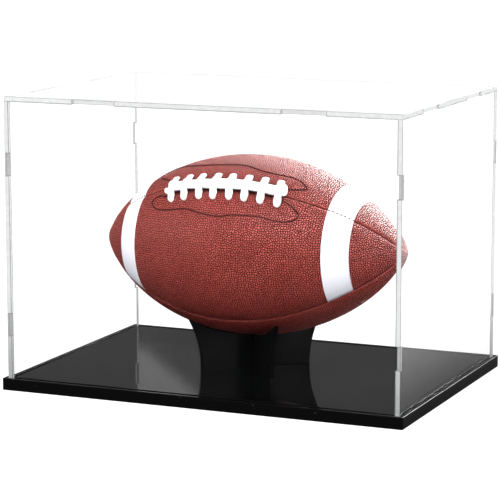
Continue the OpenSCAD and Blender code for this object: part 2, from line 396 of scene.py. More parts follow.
def clear_acrylic_material(name, tint, roughness):
    """Clear acrylic that lets the lamps' light through, with a few dust specks on it."""
    material, tree, shader = new_material(
        name, IOR=1.25, Specular_Tint=(0.2, 0.2, 0.22, 1.0), Transmission_Weight=1.0, Roughness=roughness
    )
    wear = place_group(tree, SHEET_WEAR, Vector=object_coords(tree), Amount=1.0)
    dusty = tuple(0.93 * part for part in tint) + (1.0,)
    colour = blend_colours(tree, wear["Dust"], tuple(tint) + (1.0,), dusty)
    tree.links.new(colour, shader.inputs["Base Color"])
    open_way = add_node(tree, "ShaderNodeBsdfTransparent", {"Color": (0.97, 0.975, 0.98, 1.0)})
    path = tree.nodes.new("ShaderNodeLightPath")
    passed = calc(tree, "MAXIMUM", path.outputs["Is Shadow Ray"], path.outputs["Is Diffuse Ray"])
    mix = add_node(
        tree, "ShaderNodeMixShader", {0: passed, 1: shader.outputs[0], 2: open_way.outputs[0]}
    )
    tree.links.new(mix.outputs[0], tree.nodes["Material Output"].inputs["Surface"])
    return material


def leather_material():
    """Tanned, pebbled ball leather: bright tops, dull creases darkened with painted shade, painted shade in
    the seams, dips and holes, and a waxy sheen.
    """
    material, tree, shader = new_material("ball_leather", Coat_Weight=0.01, Coat_Roughness=0.35)
    grain = place_group(tree, PEBBLES, Vector=flat_coords(tree), Pebble_Size=PEBBLE, Tone_Size=0.03)
    tone = ramp(tree, grain["Tone"], 0.35, 0.65)
    tops = blend_colours(tree, tone, (0.325, 0.036, 0.022, 1.0), (0.38, 0.048, 0.033, 1.0))
    cell = calc(tree, "MULTIPLY", grain["Cell"], 0.35)
    tops = blend_colours(tree, cell, tops, (0.235, 0.024, 0.017, 1.0))
    # painted shade in the pebbles' creases, weaker where the leather is calm
    crease = calc(tree, "MULTIPLY", grain["Crease"], attribute(tree, "grain"))
    grained = blend_colours(tree, crease, tops, (0.034, 0.003, 0.003, 1.0))
    # painted shade from the mesh: seam folds, the lace opening, the outline grooves and the lace holes
    shade = attribute(tree, "shade")
    colour = blend_colours(tree, shade, grained, (0.014, 0.003, 0.003, 1.0))
    tree.links.new(colour, shader.inputs["Base Color"])
    dull = calc(tree, "MAXIMUM", crease, shade)
    tree.links.new(ramp(tree, dull, 0.0, 1.0, LEATHER_SHINE, 0.05), shader.inputs["Specular IOR Level"])
    gloss = calc(tree, "MULTIPLY_ADD", grain["Crease"], 0.25, 0.42)
    tree.links.new(calc(tree, "MULTIPLY_ADD", grain["Tone"], 0.1, gloss), shader.inputs["Roughness"])
    tree.links.new(bump(tree, grain["Height"], 0.4 * MM, 1.0), shader.inputs["Normal"])
    return material


def painted_stripe_material():
    """White paint over pebbled leather, with painted shade in the creases."""
    material, tree, shader = new_material("stripe_white", Specular_IOR_Level=0.35, Sheen_Weight=0.05)
    grain = place_group(tree, PEBBLES, Vector=flat_coords(tree), Pebble_Size=PEBBLE, Tone_Size=0.02)
    tone = blend_colours(tree, grain["Tone"], (0.75, 0.74, 0.81, 1.0), (0.79, 0.78, 0.84, 1.0))
    # painted shade in the creases
    crease = calc(tree, "MULTIPLY", grain["Crease"], 0.25)
    colour = blend_colours(tree, crease, tone, (0.72, 0.7, 0.78, 1.0))
    tree.links.new(colour, shader.inputs["Base Color"])
    tree.links.new(calc(tree, "MULTIPLY_ADD", grain["Crease"], 0.1, 0.5), shader.inputs["Roughness"])
    tree.links.new(bump(tree, grain["Height"], 0.12 * MM, 0.5), shader.inputs["Normal"])
    return material


def lace_material():
    """White coated lace with a fine woven texture under the coating."""
    material, tree, shader = new_material("lace_white", Specular_IOR_Level=0.4, Sheen_Weight=0.1)
    weave = place_group(tree, WEAVE, Vector=object_coords(tree), Thread_Pitch=0.9 * MM)
    colour = blend_colours(tree, weave["Shade"], (0.84, 0.84, 0.82, 1.0), (0.93, 0.93, 0.92, 1.0))
    tree.links.new(colour, shader.inputs["Base Color"])
    tree.links.new(calc(tree, "MULTIPLY_ADD", weave["Shade"], 0.15, 0.45), shader.inputs["Roughness"])
    tree.links.new(bump(tree, weave["Height"], 0.08 * MM, 0.5), shader.inputs["Normal"])
    return material


def thread_material():
    """Waxed dark maroon thread, with its twist."""
    material, tree, shader = new_material("thread_maroon", Specular_IOR_Level=0.05)
    twist = add_node(tree, "ShaderNodeTexWave", {"Vector": object_coords(tree), "Scale": 700.0})
    dark, light = (0.012, 0.003, 0.004, 1.0), (0.03, 0.006, 0.008, 1.0)
    colour = blend_colours(tree, twist.outputs["Fac"], dark, light)
    tree.links.new(colour, shader.inputs["Base Color"])
    tree.links.new(calc(tree, "MULTIPLY_ADD", twist.outputs["Fac"], 0.2, 0.5), shader.inputs["Roughness"])
    tree.links.new(bump(tree, twist.outputs["Fac"], 0.05 * MM), shader.inputs["Normal"])
    return material


def cloth_material(name, light, dark, pitch):
    """Woven backing cloth."""
    material, tree, shader = new_material(name, Specular_IOR_Level=0.2, Sheen_Weight=0.3)
    weave = place_group(tree, WEAVE, Vector=object_coords(tree), Thread_Pitch=pitch)
    tree.links.new(blend_colours(tree, weave["Shade"], dark, light), shader.inputs["Base Color"])
    tree.links.new(calc(tree, "MULTIPLY_ADD", weave["Shade"], -0.2, 0.95), shader.inputs["Roughness"])
    tree.links.new(bump(tree, weave["Height"], 0.15 * MM), shader.inputs["Normal"])
    return material


def rubber_material(name, tone):
    """Moulded rubber with a dull bloom."""
    material, tree, shader = new_material(name, Specular_IOR_Level=0.3)
    coords = object_coords(tree)
    bloom = add_node(tree, "ShaderNodeTexNoise", {"Vector": coords, "Scale": 60.0, "Detail": 4.0})
    fine = add_node(tree, "ShaderNodeTexNoise", {"Vector": coords, "Scale": 1500.0, "Detail": 2.0})
    dark = (tone, tone, tone, 1.0)
    pale = (tone * 2.5, tone * 2.5, tone * 2.4, 1.0)
    colour = blend_colours(tree, ramp(tree, bloom.outputs["Fac"], 0.45, 0.7), dark, pale)
    tree.links.new(colour, shader.inputs["Base Color"])
    tree.links.new(calc(tree, "MULTIPLY_ADD", bloom.outputs["Fac"], 0.25, 0.5), shader.inputs["Roughness"])
    tree.links.new(bump(tree, fine.outputs["Fac"], 0.04 * MM), shader.inputs["Normal"])
    return material


MATERIALS = {
    "deck": black_acrylic_material("black_acrylic", 0.03, 0.001, 0.14),
    "stand": black_acrylic_material("black_acrylic_stand", 0.12, 0.0015, 0.04),
    "edge": black_acrylic_material("black_acrylic_cut_edge", 0.3, 0.0015, 0.05),
    "clear": clear_acrylic_material("clear_acrylic", (0.996, 0.998, 0.998), 0.0),
    # the cut edges' painted glow: strongest on the cut edges, weakest on the rounded corners
    "clear_edge": cut_edge_material("clear_acrylic_cut_edge", 0.72),
    "edge_line": cut_edge_material("clear_acrylic_edge_line", 0.16),
    "tab_end": cut_edge_material("clear_acrylic_tab_end", 0.46),
    "leather": leather_material(),
    "stripe": painted_stripe_material(),
    "lace": lace_material(),
    "thread": thread_material(),
    "lining": cloth_material("lining_cloth", (0.75, 0.71, 0.62, 1.0), (0.4, 0.37, 0.3, 1.0), 0.8 * MM),
    "patch": cloth_material("patch_cloth", (0.16, 0.03, 0.025, 1.0), (0.06, 0.01, 0.01, 1.0), 0.6 * MM),
    "bladder": rubber_material("bladder_rubber", 0.02),
    "valve": rubber_material("valve_rubber", 0.008),
}


# ---------- Mesh helpers ----------

def node_points(node):
    """A CAD node's vertices as rows of numbers."""
    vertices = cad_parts[node].data.vertices
    points = np.empty(len(vertices) * 3)
    vertices.foreach_get("co", points)
    return points.reshape(-1, 3)


def add_object(name, data):
    """A new object in the scene."""
    made = bpy.data.objects.new(name, data)
    bpy.context.scene.collection.objects.link(made)
    return made


def new_piece(name, mesh, body, nodes=(), materials=()):
    """A finished piece: its object at the origin, on a body, standing for CAD nodes."""
    mesh.name = name
    for key in materials:
        mesh.materials.append(MATERIALS[key])
    piece = add_object(name, mesh)
    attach(piece, body)
    if nodes:
        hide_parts(*nodes)
    return piece


def mesh_from(points, faces, name):
    """A smooth closed mesh with doubles merged and its normals outward."""
    mesh = bpy.data.meshes.new(name)
    mesh.from_pydata([tuple(p) for p in points], [], faces)
    tidy_mesh(mesh)
    mesh.shade_smooth()
    return mesh


def tidy_mesh(mesh):
    """Merges doubles, drops faces without width and turns the normals outward."""
    shape = bmesh.new()
    shape.from_mesh(mesh)
    bmesh.ops.remove_doubles(shape, verts=shape.verts, dist=1e-6)
    bmesh.ops.dissolve_degenerate(shape, edges=shape.edges, dist=1e-7)
    bmesh.ops.recalc_face_normals(shape, faces=shape.faces)
    shape.to_mesh(mesh)
    shape.free()


def evaluated_mesh(holder):
    """The plain mesh that an object's modifiers make. The object is then removed."""
    bpy.context.view_layer.update()
    graph = bpy.context.evaluated_depsgraph_get()
    mesh = bpy.data.meshes.new_from_object(holder.evaluated_get(graph), depsgraph=graph)
    bpy.data.objects.remove(holder)
    return mesh


# ---------- Acrylic pieces ----------

def cut_sheet(node, rounding):
    """A CAD sheet part as one clean mesh whose edges are slightly rounded."""
    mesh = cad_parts[node].data.copy()
    shape = bmesh.new()
    shape.from_mesh(mesh)
    bmesh.ops.remove_doubles(shape, verts=shape.verts, dist=1e-6)
    bmesh.ops.dissolve_limit(
        shape, angle_limit=math.radians(0.3), verts=shape.verts, edges=shape.edges
    )
    shape.to_mesh(mesh)
    shape.free()
    mesh.materials.clear()
    mesh.shade_smooth()
    mesh.set_sharp_from_angle(angle=math.radians(35))
    holder = add_object("holder", mesh)
    bevel = holder.modifiers.new("rounding", "BEVEL")
    bevel.width = rounding
    bevel.segments = 2
    bevel.limit_method = "ANGLE"
    bevel.angle_limit = math.radians(35)
    bevel.harden_normals = True
    return evaluated_mesh(holder)


def mark_cut_edges(mesh, thin_axis):
    """Numbers the faces: 0 for the big ones, 1 cut, 2 rounded corners, 3 cut and no longer than a tab."""
    thin = Vector(thin_axis)
    for face in mesh.polygons:
        lean = abs(face.normal.dot(thin))
        cut = 1 if face.area > TAB_END_AREA else 3
        face.material_index = cut if lean < 0.05 else 2 if lean < 0.999 else 0


def make_cover():
    """The five clear panels of the cover."""
    thin_axes = {
        "front": (0, 1, 0), "back": (0, 1, 0), "left": (1, 0, 0), "right": (1, 0, 0),
        "top": (0, 0, 1),
    }
    for side, thin_axis in thin_axes.items():
        node = f"cover_{side}_panel"
        mesh = cut_sheet(node, EDGE_ROUND)
        mark_cut_edges(mesh, thin_axis)
        new_piece(
            f"clear_{side}_sheet", mesh, "cover", [node],
            ("clear", "clear_edge", "edge_line", "tab_end"),
        )


def make_base():
    """The thick black plate with its groove, and the two crossed stand plates."""
    mesh = cut_sheet("base_plate", BASE_EDGE_ROUND)
    mark_cut_edges(mesh, (0, 0, 1))
    finishes = ("deck", "edge", "edge", "edge")
    new_piece("black_base", mesh, "base", ["base_plate"], finishes)
    for order in ("first", "second"):
        node = f"stand_plate_{order}"
        mesh = cut_sheet(node, STAND_EDGE_ROUND)
        new_piece(f"cradle_plate_{order}", mesh, "base", [node], ("stand",))


# ---------- The ball's own frame ----------

class Ball:
    """Where the ball lies, from its leather panels, and its surface as a formula."""

    def __init__(self):
        """Finds the tips, the middle, the axes and the largest radius."""
        points = np.vstack([node_points(f"ball_panel_{side}") for side in PANELS])
        start = points.mean(axis=0)
        one = points[np.argmax(np.linalg.norm(points - start, axis=1))]
        other = points[np.argmax(np.linalg.norm(points - one, axis=1))]
        left, right = sorted((one, other), key=lambda tip: tip[0])
        self.centre = (left + right) / 2
        self.half_l = np.linalg.norm(right - left) / 2
        self.axis = (right - left) / (2 * self.half_l)
        back = np.cross((0, 0, 1), self.axis)
        self.back = back / np.linalg.norm(back)
        self.up = np.cross(self.axis, self.back)
        offsets = points - self.centre
        along = offsets @ self.axis
        self.radius = math.sqrt(((offsets ** 2).sum(axis=1) - along ** 2).max())

    def local(self, points):
        """Distance along the axis and direction round it, in degrees, of points."""
        offsets = np.asarray(points) - self.centre
        angle = np.degrees(np.arctan2(offsets @ self.up, -(offsets @ self.back)))
        return offsets @ self.axis, angle

    def radius_at(self, x):
        """The ball's radius at a distance along its axis."""
        share = np.clip(np.abs(x) / self.half_l, 0, 1)
        return self.radius * (1 - share ** TIP_BLEND) ** TIP_SHARPNESS

    def normal_parts(self, x):
        """How much of the surface's normal points along the axis and away from it."""
        step = 0.05 * MM
        reach = self.half_l - 2 * step
        near = np.clip(x, -reach, reach)
        slope = (self.radius_at(near + step) - self.radius_at(near - step)) / (2 * step)
        length = np.sqrt(1 + slope ** 2)
        return -slope / length, 1 / length

    def away(self, angle):
        """Unit direction straight away from the axis, for directions round it in degrees."""
        turn = np.radians(angle)
        return -np.cos(turn)[..., None] * self.back + np.sin(turn)[..., None] * self.up

    def directions(self, x, angle):
        """Unit normal and unit direction round the ball at points of the surface."""
        turn = np.radians(angle)
        aside = np.sin(turn)[..., None] * self.back + np.cos(turn)[..., None] * self.up
        along, out = self.normal_parts(x)
        return along[..., None] * self.axis + out[..., None] * self.away(angle), aside

    def point(self, x, angle, lift=0.0):
        """Points at a distance along the axis, a direction round it and a height over the leather."""
        x, angle, lift = np.broadcast_arrays(np.asarray(x, float), angle, lift)
        normal = self.directions(x, angle)[0]
        out = self.radius_at(x)[..., None] * self.away(angle)
        surface = self.centre + x[..., None] * self.axis + out
        return surface + lift[..., None] * normal


BALL = Ball()
LACE_X, LACE_SPAN = BALL.local(node_points("ball_lace"))
LACE_ANGLE = (LACE_SPAN.min() + LACE_SPAN.max()) / 2
LACE_MIDDLE = (LACE_X.min() + LACE_X.max()) / 2
LACE_HALF_L = (LACE_X.max() - LACE_X.min()) / 2
VALVE_X, VALVE_ANGLE = BALL.local(node_points("ball_valve").mean(axis=0))


def seam_angle(seam, x):
    """Direction of one of the four seams at a distance along the ball. Seam 1 has the laces."""
    left, middle, right = SEAM_LEAN[seam % 4]
    share = np.clip(np.asarray(x) / LEAN_AT, -1.1, 1.1)
    lean = middle + (right - left) / 2 * share + ((right + left) / 2 - middle) * share ** 2
    return LACE_ANGLE - 90 + 90 * seam + lean


def smooth_step(value):
    """0 below 0, 1 above 1, and smooth between them."""
    value = np.clip(value, 0, 1)
    return value * value * (3 - 2 * value)


def outline_run():
    """Distances along the axis, tip to tip, and the length of the ball's outline up to each."""
    x = BALL.half_l * np.sin(np.linspace(-math.pi / 2, math.pi / 2, 4001))
    run = np.concatenate([[0], np.cumsum(np.hypot(np.diff(x), np.diff(BALL.radius_at(x))))])
    return x, run


def even_stations(step):
    """Distances along the axis that are evenly spaced on the ball's outline, tip to tip."""
    x, run = outline_run()
    return np.interp(np.linspace(0, run[-1], int(run[-1] / step) + 1), run, x)


def flat_places(x, angle, quarter):
    """Where points of one panel lie when it is laid flat, in metres."""
    along = np.interp(x, *outline_run())
    middle = LACE_ANGLE - 45 + 90 * quarter
    aside = BALL.radius_at(x) * np.radians(angle - middle) + quarter
    return np.stack([along, aside, np.zeros_like(along)], axis=-1)


def closed_curve(points, steps):
    """A smooth closed curve through points."""
    points = np.array(points, float)
    t = np.linspace(0, 1, steps, endpoint=False)[:, None]
    pieces = []
    for i in range(len(points)):
        a, b, c, d = (points[(i + k) % len(points)] for k in (-1, 0, 1, 2))
        square = a - 2.5 * b + 2 * c - d / 2
        cube = 1.5 * (b - c) + (d - a) / 2
        pieces.append(b + t * ((c - a) / 2 + t * (square + t * cube)))
    return np.vstack(pieces)


def outline_curve(points):
    """A patch outline as distance along the ball and direction round it."""
    curve = closed_curve(points, 12)
    return LACE_MIDDLE + curve[:, 0] * MM, LACE_ANGLE + curve[:, 1]


OUTLINES = [outline_curve(OUTLINE_BELOW), outline_curve(OUTLINE_ABOVE)]


def angle_between(angle, other):
    """Directions round the ball from another one, from -180 to 180 degrees."""
    return (angle - other + 180) % 360 - 180


def distance_to_outlines(x, angle):
    """Distance over the leather from points to the nearest stitched outline."""
    radius = BALL.radius_at(x)
    nearest = np.full(x.shape, 1.0)
    for line_x, line_angle in OUTLINES:
        for px, pa in zip(line_x, line_angle):
            gap = np.hypot(x - px, radius * np.radians(angle - pa))
            nearest = np.minimum(nearest, gap)
    return nearest


def bar_places():
    """Distances along the ball of the lace's cross bars."""
    return LACE_MIDDLE + BAR_AHEAD + (np.arange(LACE_BARS) - (LACE_BARS - 1) / 2) * LACE_PITCH


# ---------- Leather ----------

def leather_depth(x, angle, seam_gap):
    """How deep the leather dips below the ball's outline, how much painted shade it gets there, and how calm
    it is there.
    """
    radius = BALL.radius_at(x)
    full = smooth_step(radius / FULL_DIP_R)
    depth = SEAM_FOLD * np.exp(-(seam_gap / SEAM_FOLD_W) ** 2)
    depth += SEAM_CROWN * np.exp(-(seam_gap / SEAM_CROWN_W) ** 2)
    # painted shade in the seam folds
    shade = np.exp(-(seam_gap / SEAM_SHADE_W) ** 2)
    calm = np.exp(-(seam_gap / SEAM_CALM_W) ** 2)
    # the opening under the laces, with painted shade in it
    off = angle_between(angle, LACE_ANGLE)
    inside = smooth_step((LACE_HALF_L + 3 * MM - np.abs(x - LACE_MIDDLE)) / (5 * MM))
    dip = inside * np.exp(-((off - BAND_SHIFT) / LACE_DIP_ANGLE) ** 4)
    depth = depth + LACE_DIP * dip
    shade = np.maximum(shade, 0.85 * dip)
    # stitched outlines and lace holes, with painted shade in the grooves and in the holes
    line = np.exp(-(distance_to_outlines(x, angle) / OUTLINE_DIP_W) ** 2)
    depth = depth + OUTLINE_DIP * line
    shade = np.maximum(shade, 0.85 * line)
    for place in bar_places():
        for side in (-1, 1):
            hole_off = BAR_SHIFT + side * math.degrees(BAR_HALF_L / BALL.radius_at(place))
            hole_x = place - side * BAR_HALF_L * math.sin(BAR_TURN)
            aside = radius * np.radians(off - hole_off)
            hole = np.exp(-(np.hypot(x - hole_x, aside) / LACE_HOLE_R) ** 4)
            depth = depth + LACE_HOLE_DIP * hole
            shade = np.maximum(shade, 0.95 * hole)
    # the dimple round the valve
    valve = np.hypot(x - VALVE_X, radius * np.radians(angle_between(angle, VALVE_ANGLE)))
    rim = smooth_step((VALVE_DIP_R - valve) / (1.2 * MM))
    depth = depth + VALVE_DIP * rim
    calm = np.maximum(np.maximum(calm, line), np.maximum(dip, rim))
    return depth * full, shade * full, 1 - 0.9 * calm


def grid_faces(first, rows, columns, flipped=False):
    """Four-sided faces over a grid of points that starts at an index."""
    faces = []
    for i in range(rows - 1):
        for j in range(columns - 1):
            a = first + i * columns + j
            quad = (a, a + 1, a + columns + 1, a + columns)
            faces.append(quad[::-1] if flipped else quad)
    return faces


def store(mesh, name, values, kind="FLOAT"):
    """Keeps one value or vector at each point of a mesh."""
    layer = mesh.attributes.new(name, kind, "POINT")
    field = "vector" if kind == "FLOAT_VECTOR" else "value"
    layer.data.foreach_set(field, np.ravel(values).astype(np.float32))


def skin_mesh(name, quarter, x, low, high, lift_out, lift_in, columns):
    """A closed piece of skin between two directions, with a fine outer and a coarser inner face.

    Its attributes say how strong the grain is, how much painted shade each point gets,
    which way is out and where each point lies on the panel laid flat.
    """
    rows = len(x)
    inner_columns = INNER_COLUMNS
    angle = low[:, None] + (high - low)[:, None] * np.linspace(0, 1, columns)
    long_x = np.repeat(x[:, None], columns, axis=1)
    quarter_gap = np.minimum(angle - low[:, None], high[:, None] - angle)
    seam_gap = BALL.radius_at(long_x) * np.radians(quarter_gap)
    depth, shade, grain = leather_depth(long_x, angle, seam_gap)
    outer = BALL.point(long_x, angle, lift_out - depth).reshape(-1, 3)
    normal = BALL.directions(long_x, angle)[0]
    inner_angle = low[:, None] + (high - low)[:, None] * np.linspace(0, 1, inner_columns)
    shrink = (BALL.half_l + lift_in) / BALL.half_l
    inner_x = np.repeat((x * shrink)[:, None], inner_columns, axis=1)
    inner_r = (BALL.radius + lift_in) * BALL.radius_at(x)[:, None] / BALL.radius
    reach = inner_r[..., None] * BALL.away(inner_angle)
    inner = (BALL.centre + inner_x[..., None] * BALL.axis + reach).reshape(-1, 3)
    first = len(outer)
    faces = grid_faces(0, rows, columns) + grid_faces(first, rows, inner_columns, flipped=True)
    for i in range(rows - 1):
        for a, b in ((0, 0), (columns - 1, inner_columns - 1)):
            near, far = i * columns + a, first + i * inner_columns + b
            wall = (near, near + columns, far + inner_columns, far)
            faces.append(wall if a == 0 else wall[::-1])
    for i in (0, rows - 1):
        loop = [i * columns + j for j in range(columns)]
        loop += [first + i * inner_columns + j for j in reversed(range(inner_columns))]
        faces.append(loop if i else loop[::-1])
    mesh = bpy.data.meshes.new(name)
    mesh.from_pydata(np.vstack([outer, inner]).tolist(), [], faces)
    quiet = np.zeros(len(inner))
    store(mesh, "grain", np.concatenate([grain.ravel(), quiet]))
    store(mesh, "shade", np.concatenate([shade.ravel(), quiet]))
    outward = np.vstack([normal.reshape(-1, 3), np.zeros((len(inner), 3))])
    store(mesh, "outward", outward, "FLOAT_VECTOR")
    flat = np.vstack([
        flat_places(long_x, angle, quarter).reshape(-1, 3),
        flat_places(np.repeat(x[:, None], inner_columns, axis=1), inner_angle, quarter).reshape(-1, 3),
    ])
    store(mesh, "flat", flat, "FLOAT_VECTOR")
    tidy_mesh(mesh)
    mesh.shade_smooth()
    return mesh


# ---------- Geometry node trees ----------

def new_geometry_tree(name, inputs):
    """A geometry node tree with named inputs (name, socket type, value)."""
    tree = bpy.data.node_groups.new(name, "GeometryNodeTree")
    tree.interface.new_socket("Geometry", in_out="INPUT", socket_type="NodeSocketGeometry")
    for label, kind, value in inputs:
        socket = tree.interface.new_socket(label, in_out="INPUT", socket_type=kind)
        if value is not None:
            socket.default_value = value
    tree.interface.new_socket("Geometry", in_out="OUTPUT", socket_type="NodeSocketGeometry")
    return tree, tree.nodes.new("NodeGroupInput").outputs, tree.nodes.new("NodeGroupOutput").inputs


def end_tree(tree, geometry, material, result):
    """Every tree ends in real geometry with its material."""
    real = add_node(tree, "GeometryNodeRealizeInstances", {"Geometry": geometry})
    coated = add_node(
        tree, "GeometryNodeSetMaterial", {"Geometry": real.outputs[0], "Material": material}
    )
    tree.links.new(coated.outputs[0], result["Geometry"])


def named(tree, name, kind="FLOAT"):
    """A value or vector that the mesh holds at each point."""
    node = add_node(tree, "GeometryNodeInputNamedAttribute", {"Name": name}, data_type=kind)
    return node.outputs["Attribute"]


def make_pebble_tree():
    """Raises the leather in rounded pebbles that match the grain in its material."""
    inputs = [
        ("Pebble Size", "NodeSocketFloat", PEBBLE),
        ("Relief", "NodeSocketFloat", PEBBLE_RELIEF),
        ("Material", "NodeSocketMaterial", None),
    ]
    tree, source, result = new_geometry_tree("pebble_relief", inputs)
    place = named(tree, "flat", "FLOAT_VECTOR")
    scale = calc(tree, "DIVIDE", 1.0, source["Pebble Size"])
    edges = add_node(
        tree, "ShaderNodeTexVoronoi",
        {"Vector": place, "Scale": scale, "Randomness": PEBBLE_CHANCE},
        voronoi_dimensions="2D", feature="DISTANCE_TO_EDGE",
    )
    dome = ramp(tree, edges.outputs["Distance"], 0.0, 0.3)
    height = calc(tree, "MULTIPLY", dome, calc(tree, "MULTIPLY", source["Relief"], named(tree, "grain")))
    lift = add_node(
        tree, "ShaderNodeVectorMath",
        {0: named(tree, "outward", "FLOAT_VECTOR"), "Scale": height}, operation="SCALE",
    )
    moved = add_node(
        tree, "GeometryNodeSetPosition", {"Geometry": source["Geometry"], "Offset": lift.outputs[0]}
    )
    end_tree(tree, moved.outputs[0], source["Material"], result)
    return tree


def make_repeat_tree():
    """Sets one shape at even steps along a path, lying along it and facing outward."""
    inputs = [
        ("Shape", "NodeSocketObject", None),
        ("Step", "NodeSocketFloat", STITCH_PITCH),
        ("Turn", "NodeSocketFloat", 0.0),
        ("Wobble", "NodeSocketFloat", 0.0),
        ("Seed", "NodeSocketInt", 1),
        ("Material", "NodeSocketMaterial", None),
    ]
    tree, source, result = new_geometry_tree("repeat_along_path", inputs)
    path = add_node(tree, "GeometryNodeMeshToCurve", {"Mesh": source["Geometry"]})
    even = add_node(
        tree, "GeometryNodeResampleCurve", {"Curve": path.outputs[0], "Length": source["Step"]},
        mode="LENGTH",
    )
    tangent = tree.nodes.new("GeometryNodeInputTangent").outputs[0]
    facing = add_node(
        tree, "FunctionNodeAlignRotationToVector",
        {"Vector": named(tree, "outward", "FLOAT_VECTOR")}, axis="Z",
    )
    lying = add_node(
        tree, "FunctionNodeAlignRotationToVector",
        {"Rotation": facing.outputs[0], "Vector": tangent}, axis="X", pivot_axis="Z",
    )
    # inputs 2 and 3 are the range of a plain number, and output 1 is the number
    seeded = {"Seed": source["Seed"], 2: -1.0, 3: 1.0}
    chance = add_node(tree, "FunctionNodeRandomValue", seeded, data_type="FLOAT")
    swing = calc(tree, "MULTIPLY_ADD", chance.outputs[1], source["Wobble"], source["Turn"])
    spin = add_node(tree, "ShaderNodeCombineXYZ", {"Z": swing})
    turned = add_node(
        tree, "FunctionNodeRotateRotation",
        {"Rotation": lying.outputs[0], "Rotate By": spin.outputs[0]}, rotation_space="LOCAL",
    )
    shape = add_node(tree, "GeometryNodeObjectInfo", {"Object": source["Shape"]})
    kept = add_node(tree, "GeometryNodeCaptureAttribute", {"Geometry": even.outputs[0]})
    kept.capture_items.new("ROTATION", "Rotation")
    tree.links.new(turned.outputs[0], kept.inputs["Rotation"])
    on_curve = {"Curve": kept.outputs["Geometry"]}
    points = add_node(tree, "GeometryNodeCurveToPoints", on_curve, mode="EVALUATED")
    placed = add_node(
        tree, "GeometryNodeInstanceOnPoints",
        {
            "Points": points.outputs["Points"], "Instance": shape.outputs["Geometry"],
            "Rotation": kept.outputs["Rotation"],
        },
    )
    end_tree(tree, placed.outputs[0], source["Material"], result)
    return tree


PEBBLE_TREE = make_pebble_tree()
REPEAT_TREE = make_repeat_tree()


def run_tree(mesh, tree, **values):
    """A mesh as a geometry tree with these named inputs changes it, as a plain mesh."""
    holder = add_object("holder", mesh)
    modifier = holder.modifiers.new("tree", "NODES")
    modifier.node_group = tree
    for item in tree.interface.items_tree:
        label = item.name.replace(" ", "_")
        if item.in_out == "INPUT" and label in values:
            modifier[item.identifier] = values[label]
    return evaluated_mesh(holder)


# ---------- Football pieces ----------

def make_leather():
    """Four pebbled leather panels that meet in folded seams."""
    x = even_stations(LEATHER_STEP)
    columns = int(BALL.radius * math.pi / 2 / LEATHER_STEP)
    for quarter, side in enumerate(PANELS):
        low = seam_angle(quarter, x) + SEAM_GAP_ANGLE
        high = seam_angle(quarter + 1, x) - SEAM_GAP_ANGLE
        mesh = skin_mesh(f"leather_{side}", quarter, x, low, high, 0.0, -LEATHER_T, columns)
        mesh = run_tree(
            mesh, PEBBLE_TREE, Pebble_Size=PEBBLE, Relief=PEBBLE_RELIEF, Material=MATERIALS["leather"]
        )
        new_piece(f"leather_{side}", mesh, "football", [f"ball_panel_{side}"])


def make_stripes():
    """Four white stripes painted over the pebbles, from seam to seam."""
    for end in ("left", "right"):
        for quarter, side in ((0, "front"), (1, "top")):
            node = f"ball_stripe_{end}_{side}"
            along = BALL.local(node_points(node))[0]
            x = np.linspace(along.min(), along.max(), int(np.ptp(along) / LEATHER_STEP) + 1)
            low = seam_angle(quarter, x) + STRIPE_INSET_ANGLE
            high = seam_angle(quarter + 1, x) - STRIPE_INSET_ANGLE
            columns = int(BALL.radius_at(along.min()) * math.pi / 2 / LEATHER_STEP)
            mesh = skin_mesh(node, quarter, x, low, high, STRIPE_LIFT, -STRIPE_SUNK, columns)
            mesh = run_tree(
                mesh, PEBBLE_TREE, Pebble_Size=PEBBLE, Relief=PEBBLE_RELIEF,
                Material=MATERIALS["stripe"]
            )
            new_piece(f"stripe_{end}_{side}", mesh, "football", [node])


def path_mesh(x, angle, lift, closed):
    """A path over the leather as a mesh of edges that knows which way is out."""
    points = BALL.point(x, angle, lift)
    count = len(points)
    edges = [(i, i + 1) for i in range(count - 1)]
    if closed:
        edges.append((count - 1, 0))
    mesh = bpy.data.meshes.new("path")
    mesh.from_pydata(points.tolist(), edges, [])
    normal = BALL.directions(x, angle)[0]
    store(mesh, "outward", normal, "FLOAT_VECTOR")
    return mesh


def ring_faces(count, around):
    """Four-sided faces between rings of points that follow each other."""
    faces = []
    for i in range(count - 1):
        for j in range(around):
            k = (j + 1) % around
            faces.append((i * around + j, i * around + k, (i + 1) * around + k, (i + 1) * around + j))
    return faces


def sweep(centres, sides, ups, half_w, half_h, corner=2.6, around=14):
    """A closed strap with a rounded section, of changing half width and half height."""
    turn = np.linspace(0, 2 * math.pi, around, endpoint=False)
    across = np.sign(np.cos(turn)) * np.abs(np.cos(turn)) ** (2 / corner)
    over = np.sign(np.sin(turn)) * np.abs(np.sin(turn)) ** (2 / corner)
    rings = centres[:, None] + sides[:, None] * (half_w[:, None] * across)[..., None]
    rings = rings + ups[:, None] * (half_h[:, None] * over)[..., None]
    count = len(centres)
    faces = ring_faces(count, around)
    faces.append(tuple(reversed(range(around))))
    faces.append(tuple((count - 1) * around + j for j in range(around)))
    return rings.reshape(-1, 3), faces


def round_ends(t, share):
    """Half width along a strap whose ends are rounded over a share of its length."""
    edge = np.minimum(t, 1 - t) / share
    return np.sqrt(np.clip(1 - (1 - np.clip(edge, 0, 1)) ** 2, 0.02, 1))


